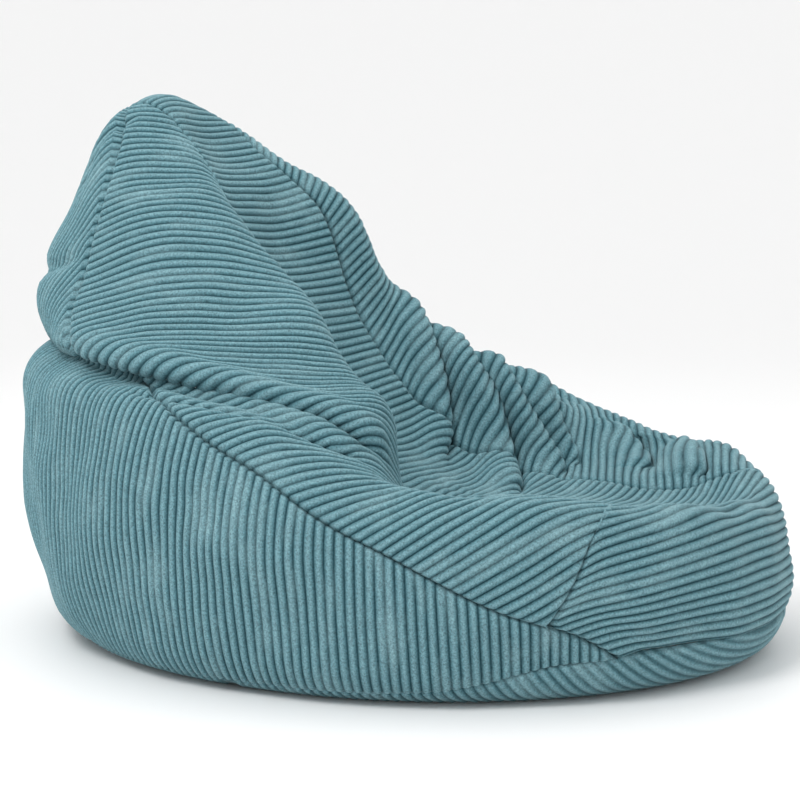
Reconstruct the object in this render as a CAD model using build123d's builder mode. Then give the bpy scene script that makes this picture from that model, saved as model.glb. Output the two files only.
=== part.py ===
# Bean bag chair: a wide-wale cord cover sewn from five cloth panels and a two-part base,
# closed underneath by a child-safe zip, holding a fabric liner with its own zip and the
# loose bead fill.
#
# Millimetres.  +Z is up, the floor is z = 0, and the origin is the middle of the footprint.
# The sitter looks towards -Y, so the backrest is at +Y and the sitter's right hand is at -X.
import math
import os
from build123d import *

os.makedirs("parts", exist_ok=True)

# ---------------------------------------------------------------- driving dimensions
WIDTH = 840.0            # across the two arms at the widest
DEPTH = 956.0            # front of the seat to the back of the bulge
HEIGHT = 660.0           # floor to the top of the backrest
RIM_HEIGHT = 272.0       # arm height half way along the seat
RIM_TILT = 15.5          # degrees; the arms climb towards the backrest

CLOTH = 4.0              # cord cloth with its pile
LINER_GAP = 3.0          # slack between the cover and the liner
LINER_CLOTH = 2.0        # liner cloth, with its turned seams
FILL_GAP = 1.5           # slack between the liner and the beads
LINER_INSET = CLOTH + LINER_GAP
FILL_INSET = LINER_INSET + LINER_CLOTH + FILL_GAP

BASE_TURN_UP = 16.0      # the base panel turns up this far at its edge
SEAT_FRONT_HALF = 172.0  # half the width of the seat panel at the front
SEAT_TOP_HALF = 62.0     # half its width where it ends at the top of the backrest

TAPE_THICK = 0.8
TAPE_WIDE = 24.0         # from the middle of the zip to the tape's outer edge
COIL = 2.0               # thickness of a base zip coil
SLIDER_LONG = 12.0
SLIDER_WIDE = 9.0

BASE_ZIP_HALF = 285.0    # half the length of the opening in the base
BASE_SLOT_HALF = 10.0    # half the gap that the base cloth leaves along the zip
BASE_SLIDER_AT = 255.0   # the parked slider; it opens towards -X

LINER_ZIP_Y = 150.0      # the liner's zip lies behind the one in the base
LINER_ZIP_HALF = 215.0
LINER_SLOT_HALF = 8.0
LINER_SLIDER_AT = 187.0

# Share of the rim height, then share of the full width and depth, for the round base.
BASE_STATIONS = [(0.0, 0.90), (0.10, 0.955), (0.32, 1.0), (0.55, 1.0),
                 (0.78, 0.965), (0.93, 0.89), (1.0, 0.80)]

# Height, distance behind the middle, half width and half thickness of the backrest.
BACK_STATIONS = [(120.0, 215.0, 300.0, 230.0), (250.0, 222.0, 315.0, 240.0),
                 (350.0, 228.0, 295.0, 236.0), (440.0, 262.0, 246.0, 178.0),
                 (530.0, 286.0, 196.0, 126.0), (595.0, 308.0, 146.0, 86.0),
                 (638.0, 320.0, 92.0, 56.0), (HEIGHT, 322.0, 40.0, 26.0)]

# The seam between the back panel and each side panel, seen from the side: distance behind
# the middle, then height.  It runs from the front of the base to the top of the back.
BACK_SEAM = [(-420.0, 8.0), (-374.0, 62.0), (-277.0, 126.0), (-168.0, 184.0),
             (-56.0, 234.0), (81.0, 288.0), (200.0, 336.0), (272.0, 430.0),
             (312.0, 560.0), (322.0, 720.0)]

# Height above the lowest point of the seat, distance behind the middle, half width and
# half depth of the seat hollow.
HOLLOW_FLOOR = 175.0
HOLLOW_STATIONS = [(0.0, -105.0, 110.0, 110.0), (22.0, -110.0, 205.0, 178.0),
                   (62.0, -112.0, 265.0, 222.0), (130.0, -112.0, 305.0, 262.0),
                   (330.0, -130.0, 360.0, 330.0)]


def tilted_plane(y, z, tilt):
    """A level plane through (0, y, z) turned so that its far side, towards +Y, climbs."""
    slope = math.radians(tilt)
    return Plane(origin=(0, y, z), x_dir=(1, 0, 0),
                 z_dir=(0, -math.sin(slope), math.cos(slope)))


def bag_volume(inset):
    """The slumped bag as one solid, every surface moved in by the inset."""
    with BuildPart() as bag:
        for level, share in BASE_STATIONS:
            z = inset + level * (RIM_HEIGHT - 2 * inset)
            with BuildSketch(tilted_plane(0, z, RIM_TILT * level)):
                Ellipse(WIDTH / 2 * share - inset, DEPTH / 2 * share - inset)
        loft()
        low = BACK_STATIONS[0][0]
        for height, y, half_width, half_depth in BACK_STATIONS:
            z = height - inset * (height - low) / (HEIGHT - low)
            with BuildSketch(tilted_plane(y, z, 0)):
                Ellipse(half_width - inset * 0.8, half_depth - inset * 0.8)
        loft()
        for rise, y, half_width, half_depth in HOLLOW_STATIONS:
            with BuildSketch(tilted_plane(y, HOLLOW_FLOOR + rise - inset, RIM_TILT)):
                Ellipse(half_width + inset, half_depth + inset)
        loft(mode=Mode.SUBTRACT)
    return bag.part


def middle(low, high):
    """The point half way between two corners."""
    return tuple((a + b) / 2 for a, b in zip(low, high))


def sides(low, high):
    """The three side lengths of the box between two corners."""
    return tuple(b - a for a, b in zip(low, high))


def save(part, name):
    """Label one piece and write its STEP file."""
    part.label = name
    export_step(part, f"parts/{name}.step")
    size = part.bounding_box().size
    print(f"{name:24s} {part.volume / 1000:10.2f} cm3  {len(part.solids())} solids  "
          f"{size.X:.1f} x {size.Y:.1f} x {size.Z:.1f}  valid {part.is_valid}")


# ---------------------------------------------------------------- the sewn cover
bag_outside = bag_volume(0.0)
bag_inside = bag_volume(CLOTH)

with BuildPart() as cover_shell:
    add(bag_outside)
    add(bag_inside, mode=Mode.SUBTRACT)

# Everything behind and below the long side seams, but not the inside of the seat.
with BuildPart() as back_region:
    with BuildSketch(Plane.YZ):
        with BuildLine():
            Polyline(*BACK_SEAM, (600.0, 720.0), (600.0, 8.0), close=True)
        make_face()
    extrude(amount=WIDTH, both=True)
    with BuildSketch(Plane.XY):
        with Locations((0, -112)):
            Ellipse(320, 275)
    extrude(amount=HEIGHT * 1.2, mode=Mode.SUBTRACT)

# The strip up the middle of the front, the seat and the backrest.
with BuildPart() as seat_region:
    with BuildSketch(Plane.XY):
        with BuildLine():
            Polyline((-SEAT_FRONT_HALF, -600.0), (SEAT_FRONT_HALF, -600.0),
                     (SEAT_FRONT_HALF, -330.0), (SEAT_TOP_HALF, 340.0),
                     (-SEAT_TOP_HALF, 340.0), (-SEAT_FRONT_HALF, -330.0), close=True)
        make_face()
    extrude(amount=HEIGHT * 1.2)

with BuildPart() as base_region:
    Box(WIDTH * 1.2, DEPTH * 1.2, BASE_TURN_UP, align=(Align.CENTER, Align.CENTER, Align.MIN))

with BuildPart() as back_panel:
    add(cover_shell.part)
    add(base_region.part, mode=Mode.SUBTRACT)
    add(back_region.part, mode=Mode.INTERSECT)
save(back_panel.part, "back_panel")

with BuildPart() as upper_cover:
    add(cover_shell.part)
    add(base_region.part, mode=Mode.SUBTRACT)
    add(back_region.part, mode=Mode.SUBTRACT)

with BuildPart() as seat_panel:
    add(upper_cover.part)
    add(seat_region.part, mode=Mode.INTERSECT)
save(seat_panel.part, "seat_panel")

with BuildPart() as side_panels:
    add(upper_cover.part)
    add(seat_region.part, mode=Mode.SUBTRACT)

with BuildPart() as side_panel_right:
    add(side_panels.part)
    split(bisect_by=Plane.YZ, keep=Keep.BOTTOM)
save(side_panel_right.part, "side_panel_right")

with BuildPart() as side_panel_left:
    add(side_panels.part)
    split(bisect_by=Plane.YZ, keep=Keep.TOP)
save(side_panel_left.part, "side_panel_left")

# The base is two panels that meet on the zip, which runs straight across it.
with BuildPart() as base_cloth:
    add(cover_shell.part)
    add(base_region.part, mode=Mode.INTERSECT)
    Box(2 * BASE_ZIP_HALF, 2 * BASE_SLOT_HALF, 4 * CLOTH, mode=Mode.SUBTRACT)

with BuildPart() as base_panel_front:
    add(base_cloth.part)
    split(bisect_by=Plane.XZ, keep=Keep.TOP)
save(base_panel_front.part, "base_panel_front")

with BuildPart() as base_panel_rear:
    add(base_cloth.part)
    split(bisect_by=Plane.XZ, keep=Keep.BOTTOM)
save(base_panel_rear.part, "base_panel_rear")


# ---------------------------------------------------------------- liner and fill
liner_outside = bag_volume(LINER_INSET)
liner_inside = bag_volume(LINER_INSET + LINER_CLOTH)

with BuildPart() as liner_bag:
    add(liner_outside)
    add(liner_inside, mode=Mode.SUBTRACT)
    with Locations((0, LINER_ZIP_Y, LINER_INSET)):
        Box(2 * LINER_ZIP_HALF, 2 * LINER_SLOT_HALF, 3 * LINER_CLOTH, mode=Mode.SUBTRACT)
save(liner_bag.part, "liner_bag")

# The beads keep clear of the liner's zip, whose slider stands a little inside the cloth.
with BuildPart() as bead_fill:
    add(bag_volume(FILL_INSET))
    with Locations((0, LINER_ZIP_Y, FILL_INSET)):
        Box(2 * LINER_ZIP_HALF + 20, 2 * TAPE_WIDE + 4, 6.0, mode=Mode.SUBTRACT)
save(bead_fill.part, "bead_fill")


# ---------------------------------------------------------------- the two zips
def zip_tape(side, y, z, half, coil_end):
    """One tape.  Past the end of the coil its edge stands back, where the slider parks."""
    low = (-half, 0.4, z)
    high = (half, TAPE_WIDE, z + TAPE_THICK)
    with BuildPart() as tape:
        with Locations(middle(low, high)):
            Box(*sides(low, high))
        low = (coil_end, 0.0, z - 1)
        high = (half + 1, 1.4, z + 2)
        with Locations(middle(low, high)):
            Box(*sides(low, high), mode=Mode.SUBTRACT)
    placed = tape.part if side > 0 else mirror(tape.part, about=Plane.XZ, mode=Mode.PRIVATE)
    return Pos(0, y, 0) * placed


def zip_coil(side, y, z, start, end, thick):
    """One half of the closed chain, hanging under the edge of its tape."""
    with BuildPart() as coil:
        with BuildSketch(Plane.YZ.offset(start)):
            with Locations((y + side * (thick / 2 + 0.05), z - thick / 2 - 0.05)):
                Circle(thick / 2)
        extrude(amount=end - start)
    return coil.part


def zip_slider(x, y, z, thick):
    """Two plates either side of the tape, joined at the front by the wedge that parts the coils.

    z is the underside of the tape.  The outer plate has a rim on each side and a small
    loop for a paper clip, because a child-safe slider has no pull.
    """
    outer_top = z - thick - 0.35
    with BuildPart() as slider:
        with BuildSketch(Plane.XY.offset(outer_top - 1.0)):
            with Locations((x, y)):
                SlotCenterToCenter(SLIDER_LONG - SLIDER_WIDE + 2.0, SLIDER_WIDE - 2.0)
                Rectangle(SLIDER_LONG - 4.0, SLIDER_WIDE)
        extrude(amount=1.0)
        with BuildSketch(Plane.XY.offset(z + TAPE_THICK + 0.3)):
            with Locations((x, y)):
                SlotCenterToCenter(SLIDER_LONG - SLIDER_WIDE + 2.0, SLIDER_WIDE - 2.0)
                Rectangle(SLIDER_LONG - 4.0, SLIDER_WIDE)
        extrude(amount=1.0)
        for side in (-1, 1):
            low = (x - SLIDER_LONG / 2 + 2.2, y + side * (SLIDER_WIDE / 2 - 0.55) - 0.55, outer_top)
            high = (x + SLIDER_LONG / 2 - 2.2, y + side * (SLIDER_WIDE / 2 - 0.55) + 0.55, z - 0.3)
            with Locations(middle(low, high)):
                Box(*sides(low, high))
        low = (x + SLIDER_LONG / 2 - 4.2, y - 0.8, outer_top)
        high = (x + SLIDER_LONG / 2 - 1.2, y + 0.8, z + TAPE_THICK + 0.3)
        with Locations(middle(low, high)):
            Box(*sides(low, high))
    return slider.part


def lock_spring(x, y, z, thick):
    """The leaf under the slider whose bent end drops between the coils and locks them."""
    face = z - thick - 0.35 - 1.0
    with BuildPart() as spring:
        low = (x - 4.2, y - 1.1, face - 0.4)
        high = (x + 3.4, y + 1.1, face)
        with Locations(middle(low, high)):
            Box(*sides(low, high))
    return spring.part


def top_stops(x, y, z):
    """The two crimped stops, one under each tape just past the parked slider."""
    with BuildPart() as stops:
        for side in (-1, 1):
            low = (x, y + side * 2.4 - 1.0, z - 1.8)
            high = (x + 3.0, y + side * 2.4 + 1.0, z)
            with Locations(middle(low, high)):
                Box(*sides(low, high))
    return stops.part


def bottom_stop(x, y, z):
    """The single stop across both coils at the far end."""
    low = (x - 3.0, y - 2.4, z - 2.1)
    high = (x, y + 2.4, z)
    with BuildPart() as stop:
        with Locations(middle(low, high)):
            Box(*sides(low, high))
    return stop.part


def stitch_rows(y, z, half):
    """The thread that holds both tapes to the cloth, one row a side."""
    with BuildPart() as rows:
        for side in (-1, 1):
            with BuildSketch(Plane.YZ.offset(-half + 4)):
                with Locations((y + side * (TAPE_WIDE - 6.0), z + TAPE_THICK + 0.25)):
                    Circle(0.25)
            extrude(amount=2 * half - 8)
    return rows.part


def save_zip(name, y, z, half, slider_at, thick):
    """Write every piece of one zip; z is the underside of its tapes."""
    coil_end = slider_at - SLIDER_LONG / 2 - 1.0
    coil_start = -coil_end - 16.0
    save(zip_tape(-1, y, z, half, coil_end), f"{name}_tape_front")
    save(zip_tape(1, y, z, half, coil_end), f"{name}_tape_rear")
    save(zip_coil(-1, y, z, coil_start, coil_end, thick), f"{name}_coil_front")
    save(zip_coil(1, y, z, coil_start, coil_end, thick), f"{name}_coil_rear")
    save(zip_slider(slider_at, y, z, thick), f"{name}_slider")
    save(lock_spring(slider_at, y, z, thick), f"{name}_lock_spring")
    save(top_stops(slider_at + SLIDER_LONG / 2 + 2.0, y, z), f"{name}_top_stops")
    save(bottom_stop(coil_start, y, z), f"{name}_bottom_stop")
    save(stitch_rows(y, z, half), f"{name}_stitching")
    travel = slider_at - coil_start - SLIDER_LONG - 1.0
    print(name, "slider can travel", round(travel, 1))


save_zip("base_zip", 0.0, CLOTH, BASE_ZIP_HALF, BASE_SLIDER_AT, COIL)
save_zip("liner_zip", LINER_ZIP_Y, LINER_INSET + LINER_CLOTH, LINER_ZIP_HALF,
         LINER_SLIDER_AT, COIL * 0.8)
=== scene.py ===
# %% [markdown]
# # A bean bag chair in wide-wale cord
# This lesson builds the look of a low bean bag chair on top of a measured frame.
# The real chair is a few flat pieces of ribbed cord cloth, sewn together and stuffed.
# So the lesson works in the same order: first the stuffed shape, then the folds in it,
# then each cloth panel is cut from flat cord, with straight ribs, and laid on that shape.

# %% Load the frame
import math

import bpy
import numpy as np
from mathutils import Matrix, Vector


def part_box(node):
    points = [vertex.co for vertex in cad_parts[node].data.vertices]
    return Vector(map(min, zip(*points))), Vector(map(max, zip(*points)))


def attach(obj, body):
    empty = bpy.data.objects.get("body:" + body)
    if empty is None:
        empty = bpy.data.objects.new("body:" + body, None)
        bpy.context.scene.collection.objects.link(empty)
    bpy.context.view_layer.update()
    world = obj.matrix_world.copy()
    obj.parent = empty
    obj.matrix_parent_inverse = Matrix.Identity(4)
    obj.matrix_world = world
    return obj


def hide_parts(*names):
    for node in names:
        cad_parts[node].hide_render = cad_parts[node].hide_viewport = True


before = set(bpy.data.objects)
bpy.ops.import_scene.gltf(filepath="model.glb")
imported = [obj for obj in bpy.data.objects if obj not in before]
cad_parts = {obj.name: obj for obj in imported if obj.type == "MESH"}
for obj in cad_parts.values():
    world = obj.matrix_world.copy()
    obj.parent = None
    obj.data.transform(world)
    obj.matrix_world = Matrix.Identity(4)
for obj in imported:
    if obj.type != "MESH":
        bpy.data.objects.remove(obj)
bpy.context.view_layer.update()

# %% [markdown]
# ## The camera
# The chair is seen from in front of its right-hand side, from just above the arms.  A long
# lens keeps the near arm from looking too big.  The camera comes first, so that every later
# step can be looked at.

# %% Camera
CAMERA_AZIMUTH = -60.0
CAMERA_ELEVATION = 6.0
CAMERA_DISTANCE = 2.45
CAMERA_TARGET = np.array([-0.02, -0.01, 0.285])


def direction(azimuth, elevation):
    """The unit vector from the chair to a viewer: azimuth 0 is straight in front, at -Y."""
    a, e = math.radians(azimuth), math.radians(elevation)
    return np.array([math.sin(a) * math.cos(e), -math.cos(a) * math.cos(e), math.sin(e)])


def look_at(obj, place, target):
    """Put a camera or lamp at a place with its -Z axis towards the target."""
    obj.location = Vector(place)
    obj.rotation_euler = (Vector(target) - Vector(place)).to_track_quat("-Z", "Y").to_euler()


camera = bpy.data.objects.new("camera", bpy.data.cameras.new("camera"))
bpy.context.scene.collection.objects.link(camera)
camera.data.lens = 90
camera.data.sensor_width = 36
camera.data.clip_end = 50
look_at(camera, CAMERA_TARGET + CAMERA_DISTANCE * direction(CAMERA_AZIMUTH, CAMERA_ELEVATION),
        CAMERA_TARGET)
bpy.context.scene.camera = camera
print("camera at", tuple(round(c, 3) for c in camera.location))

# %% [markdown]
# ## Smooth curves through chosen points
# Everything soft here is drawn through a few chosen points.  A natural cubic spline passes
# through them with the least bending, as a thin strip of wood does.  It is worked out once
# for whole arrays: one small set of linear equations gives the bending at each point.

# %% Natural cubic spline


def natural_spline(x, y, wanted):
    """Values at wanted of the cubic through (x, y) whose bending is zero at both ends.

    Between two points the value is a cubic in the distance from the first one; the second
    derivatives m solve h0 m0 + 2 (h0 + h1) m1 + h1 m2 = 6 (slope1 - slope0) at each point.
    """
    x, y, wanted = np.asarray(x, float), np.asarray(y, float), np.asarray(wanted, float)
    n, h = len(x), np.diff(np.asarray(x, float))
    equations, right = np.eye(n), np.zeros((n,) + y.shape[1:])
    slope = np.diff(y, axis=0) / h.reshape((-1,) + (1,) * (y.ndim - 1))
    inside = np.arange(1, n - 1)
    equations[inside, inside - 1] = h[:-1]
    equations[inside, inside] = 2 * (h[:-1] + h[1:])
    equations[inside, inside + 1] = h[1:]
    right[1:-1] = 6 * (slope[1:] - slope[:-1])
    bend = np.linalg.solve(equations, right.reshape(n, -1)).reshape(right.shape)
    k = np.clip(np.searchsorted(x, wanted) - 1, 0, n - 2)
    shape = (-1,) + (1,) * (y.ndim - 1)
    t, step = (wanted - x[k]).reshape(shape), h[k].reshape(shape)
    first = slope[k] - step * (2 * bend[k] + bend[k + 1]) / 6
    return y[k] + t * (first + t * (bend[k] / 2 + t * (bend[k + 1] - bend[k]) / (6 * step)))


def smooth_step(low, high, x):
    """0 below low, 1 above high, and 3 s^2 - 2 s^3 between them."""
    s = np.clip((x - low) / (high - low), 0.0, 1.0)
    return s * s * (3 - 2 * s)


def running_length(points):
    """Length along a line of points, from 0 at the first one."""
    return np.concatenate([[0], np.cumsum(np.linalg.norm(np.diff(points, axis=0), axis=1))])


print("spline check", natural_spline([0, 1, 2], [0, 1, 0], [0.5, 1.0]))

# %% [markdown]
# ## The stuffed shape
# Filled with beads and set down, the bag has a deep seat, a rim that climbs from the front
# round the arms to the pointed back, and a fold where the back sinks behind the base.
# It could be sculpted or blown up by a simulation.  Here it is drawn instead: sixteen rings
# run round a line through the seat, from the middle of the seat, over the rim, to the floor.
# Each ring has a radius and a height at ten directions, from the front (-90) to the rear
# (+90), in millimetres, and the other side is its mirror image.

# %% Rings round the seat
RING_AXIS_Y = -0.13
RING_DIRECTIONS = [-90, -60, -30, 0, 15, 30, 45, 60, 75, 90]
RINGS = [
    ("seat middle", [0] * 10, [165] * 10),
    ("seat floor", [100] * 10, [163, 163, 165, 169, 172, 175, 180, 185, 190, 190]),
    ("seat edge", [195, 196, 192, 188, 175, 170, 170, 175, 190, 200],
     [166, 167, 174, 186, 198, 205, 215, 235, 260, 275]),
    ("wall foot", [245, 247, 246, 230, 195, 195, 205, 220, 260, 290],
     [176, 178, 188, 203, 243, 262, 285, 330, 400, 430]),
    ("wall", [270, 275, 276, 256, 205, 205, 225, 250, 330, 375],
     [187, 190, 203, 216, 273, 300, 350, 425, 510, 560]),
    ("ridge", [283, 290, 291, 273, 222, 225, 248, 285, 375, 445],
     [192, 197, 211, 226, 293, 322, 385, 460, 565, 648]),
    ("back side", [293, 300, 304, 288, 250, 270, 315, 400, 480, 513],
     [193.5, 200, 216, 233, 298, 325, 395, 500, 596, 634]),
    ("back low", [300, 309, 314, 301, 285, 325, 395, 482, 553, 570],
     [193, 201, 219, 238, 290, 325, 385, 447, 500, 520]),
    ("above crease", [307, 317, 324, 314, 320, 375, 457, 528, 585, 608],
     [191.5, 200, 219, 241, 285, 320, 350, 378, 405, 415]),
    ("crease", [313, 324, 332, 325, 335, 385, 448, 517, 570, 594],
     [189, 198, 219, 242, 280, 305, 330, 352, 368, 376]),
    ("bulge crest", [323, 333, 345, 343, 368, 418, 478, 540, 584, 604],
     [184, 193, 215, 241, 284, 309, 325, 335, 345, 350]),
    ("shoulder", [340, 348, 364, 385, 417, 460, 510, 560, 600, 611],
     [150, 162, 192, 218, 250, 270, 282, 285, 290, 290]),
    ("widest", [353, 357, 373, 406, 436, 474, 518, 562, 596, 608],
     [95, 103, 125, 150, 168, 175, 180, 180, 180, 180]),
    ("flank foot", [344, 347, 359, 393, 421, 458, 501, 541, 571, 583],
     [46, 48, 52, 58, 62, 65, 68, 70, 70, 70]),
    ("turn under", [324, 327, 339, 373, 398, 432, 470, 507, 537, 547], [15] * 10),
    ("contact", [298, 300, 314, 348, 372, 404, 440, 474, 502, 512], [3.4] * 10),
]
AROUND = 1200
DOWN = 800


def past_the_mirror(values):
    """Repeat a front-to-rear row backwards past both ends, so the spline is level there."""
    values = np.asarray(values, float)
    return np.concatenate([values[-2:0:-1], values, values[-2::-1]])


def ring_values(azimuth):
    """Radius and height of every ring at each azimuth, as two arrays of ring by azimuth."""
    keys = np.array(RING_DIRECTIONS, float)
    keys = np.concatenate([-180 - keys[-2:0:-1], keys, 180 - keys[-2::-1]])
    radius = np.array([past_the_mirror(r) for _, r, _ in RINGS]).T / 1000
    height = np.array([past_the_mirror(z) for _, _, z in RINGS]).T / 1000
    folded = np.where(azimuth > 90, 180 - azimuth, azimuth)
    return natural_spline(keys, radius, folded).T, natural_spline(keys, height, folded).T


def stuffed_grid():
    """The bag as a grid of points: rows go down from the seat, columns go round it."""
    azimuth = np.linspace(-90, 270, AROUND, endpoint=False)
    radius, height = ring_values(azimuth)
    a = np.radians(azimuth)
    rings = np.stack([radius * np.cos(a), RING_AXIS_Y + radius * np.sin(a), height], -1)
    gaps = np.linalg.norm(np.diff(rings, axis=0), axis=-1).mean(1)
    places = np.concatenate([[0], np.cumsum(gaps)])
    places /= places[-1]
    return natural_spline(places, rings, np.linspace(0, 1, DOWN)), places


bag, RING_PLACES = stuffed_grid()
print("stuffed bag", bag.reshape(-1, 3).min(0).round(3), bag.reshape(-1, 3).max(0).round(3))

# %% [markdown]
# ## Reading the grid between its points
# The panels will ask for points of the bag at any place, not only at the grid's own.
# A Catmull-Rom patch reads sixteen neighbours and keeps the surface smooth, which matters
# because a ribbed cloth shows every kink.

# %% Smooth sampling


def catmull(t):
    """The four weights of a Catmull-Rom spline at a fraction t between its middle points."""
    return np.stack([(-t + 2 * t**2 - t**3) / 2, (2 - 5 * t**2 + 3 * t**3) / 2,
                     (t + 4 * t**2 - 3 * t**3) / 2, (t**3 - t**2) / 2])


def read_grid(grid, row, column, wrap):
    """Smooth values of a grid at fractional rows and columns; wrap joins its side edges."""
    rows, columns = grid.shape[:2]
    row = np.clip(row, 0, rows - 1 - 1e-9)
    if not wrap:
        column = np.clip(column, 0, columns - 1 - 1e-9)
    r, c = np.floor(row).astype(int), np.floor(column).astype(int)
    row_weight, column_weight = catmull(row - r), catmull(column - c)
    total = 0.0
    for i in range(4):
        ri = np.clip(r + i - 1, 0, rows - 1)
        line = 0.0
        for j in range(4):
            cj = (c + j - 1) % columns if wrap else np.clip(c + j - 1, 0, columns - 1)
            line = line + column_weight[j][..., None] * grid[ri, cj]
        total = total + row_weight[i][..., None] * line
    return total


def disc_of(azimuth, ring):
    """A place on the bag as a point of a flat disc: its distance from the middle is how far
    down the rings it lies, and its direction is the azimuth in degrees."""
    out = np.interp(ring, np.arange(len(RINGS)), RING_PLACES)
    a = np.radians(azimuth)
    return np.stack([out * np.cos(a), out * np.sin(a)], -1)


def column_of(azimuth):
    """The bag grid's column, with its fraction, at an azimuth in degrees."""
    return ((azimuth + 90) % 360) / 360 * AROUND


def on_bag(grid, disc):
    """Points of a bag grid at places of the disc."""
    out = np.hypot(disc[..., 0], disc[..., 1])
    azimuth = np.degrees(np.arctan2(disc[..., 1], disc[..., 0]))
    return read_grid(grid, out * (DOWN - 1), column_of(azimuth), True)


print("top of the back", on_bag(bag, disc_of(90.0, 5.3)).round(3))

# %% [markdown]
# ## Outward directions
# Ribs and folds stand out along the surface's own outward direction.  It is the cross
# product of the two directions along the grid.

# %% Outward directions


def outward(grid):
    """Unit vectors out of the bag at every grid point."""
    along = np.gradient(grid, axis=0)
    across = np.roll(grid, -1, 1) - np.roll(grid, 1, 1)
    normal = np.cross(across, along)
    normal[0] = (0, 0, 1)
    size = np.linalg.norm(normal, axis=-1, keepdims=True)
    normal = normal / np.maximum(size, 1e-12)
    return normal if normal[DOWN // 8, :, 2].mean() > 0 else -normal


out_of_bag = outward(bag)
print("seat faces up", out_of_bag[20, 0].round(2))

# %% [markdown]
# ## Laying cloth flat
# A sewer cuts each panel from flat cord, so its ribs are straight and evenly spaced on the
# table.  To know where they run on the bag, each panel is peeled off and pressed flat.
# Pressing a bowl flat must stretch it somewhere.  The as-rigid-as-possible method spreads
# that evenly: every small triangle is turned, never stretched, towards its flat place, and
# one set of equations then joins the turned triangles up again.

# %% Press a panel flat
WEIGHT_LIMITS = (0.02, 8.0)


def squares_of(rows, columns, wrap=False):
    """The four point numbers round each square of a grid; wrap joins its side edges."""
    k = np.arange(rows * columns).reshape(rows, columns)
    if wrap:
        k = np.concatenate([k, k[:, :1]], 1)
    return np.stack([k[:-1, :-1], k[:-1, 1:], k[1:, 1:], k[1:, :-1]], -1).reshape(-1, 4)


def press_flat(points, start, rounds):
    """Flat places for a grid of points, as near to its true shape as cloth can lie.

    Each round finds every triangle's best turn from its flat corners to its true ones, then
    solves L flat = sum of turned edges, with cotangent weights in L.
    """
    rows, columns = points.shape[:2]
    squares = squares_of(rows, columns)
    tri = np.concatenate([squares[:, [0, 1, 2]], squares[:, [0, 2, 3]]])
    p = points.reshape(-1, 3)[tri]
    e1, e2 = p[:, 1] - p[:, 0], p[:, 2] - p[:, 0]
    base = np.linalg.norm(e1, axis=1) + 1e-9
    x = (e1 * e2).sum(1) / base
    y = np.linalg.norm(np.cross(e1, e2), axis=1) / base + 1e-9
    true = np.stack([np.zeros((len(tri), 2)), np.stack([base, 0 * base], 1),
                     np.stack([x, y], 1)], 1)
    edges = [(1, 2, 0), (2, 0, 1), (0, 1, 2)]
    n = rows * columns
    weights, laplace = [], np.zeros((n, n))
    for i, j, k in edges:
        u, v = true[:, i] - true[:, k], true[:, j] - true[:, k]
        area = np.abs(u[:, 0] * v[:, 1] - u[:, 1] * v[:, 0])
        w = np.clip((u * v).sum(1) / (2 * area + 1e-12), *WEIGHT_LIMITS)
        weights.append(w)
        a, b = tri[:, i], tri[:, j]
        np.add.at(laplace, (a, a), w)
        np.add.at(laplace, (b, b), w)
        np.add.at(laplace, (a, b), -w)
        np.add.at(laplace, (b, a), -w)
    solver = np.linalg.inv(laplace + 1.0 / n)
    flat = start.reshape(-1, 2).astype(float)
    for _ in range(rounds):
        c, s = np.zeros(len(tri)), np.zeros(len(tri))
        for (i, j, k), w in zip(edges, weights):
            d, q = flat[tri[:, i]] - flat[tri[:, j]], true[:, i] - true[:, j]
            c += w * (d * q).sum(1)
            s += w * (d[:, 1] * q[:, 0] - d[:, 0] * q[:, 1])
        size = np.hypot(c, s) + 1e-12
        c, s = c / size, s / size
        right = np.zeros((n, 2))
        for (i, j, k), w in zip(edges, weights):
            q = true[:, i] - true[:, j]
            turned = w[:, None] * np.stack([c * q[:, 0] - s * q[:, 1],
                                            s * q[:, 0] + c * q[:, 1]], 1)
            np.add.at(right, tri[:, i], turned)
            np.add.at(right, tri[:, j], -turned)
        flat = solver @ right
    return flat.reshape(rows, columns, 2)


# %% [markdown]
# ## Ruling the ribs
# On the flat panel a rib is a straight line, so each column of points runs straight along
# the cloth from one cut edge to the other, six or eight columns to a rib.  Each point is
# then traced back to its place on the bag, by Newton's method on the flat map.

# %% Rule straight columns on a flat panel
TIP_INSET = 0.0002
NEWTON_ROUNDS = 9
SEARCH_SHARE = 4000


def edge_loop(grid):
    """The grid's border as one closed line of points."""
    return np.concatenate([grid[0, :-1], grid[:-1, -1], grid[-1, :0:-1], grid[:0:-1, 0]])


def rule_columns(flat, step, rows):
    """Flat places of straight columns, a step apart, each cut off at the panel's edges."""
    loop = edge_loop(flat)
    a0, b0 = loop[:, 0], loop[:, 1]
    a1, b1 = np.roll(a0, -1), np.roll(b0, -1)
    inside = np.arange(np.ceil(a0.min() / step + 0.3), a0.max() / step - 0.3) * step
    across = np.concatenate([[a0.min() + TIP_INSET], inside, [a0.max() - TIP_INSET]])
    count = len(across)
    low, high = np.full(count, np.inf), np.full(count, -np.inf)
    for k in range(len(loop)):
        if abs(a1[k] - a0[k]) < 1e-12:
            continue
        t = (across - a0[k]) / (a1[k] - a0[k])
        hit = (t >= 0) & (t <= 1)
        b = b0[k] + t * (b1[k] - b0[k])
        low = np.where(hit, np.minimum(low, b), low)
        high = np.where(hit, np.maximum(high, b), high)
    share = np.linspace(0, 1, rows)[:, None]
    return np.stack([np.broadcast_to(across, (rows, count)), low + share * (high - low)], -1)


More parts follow.
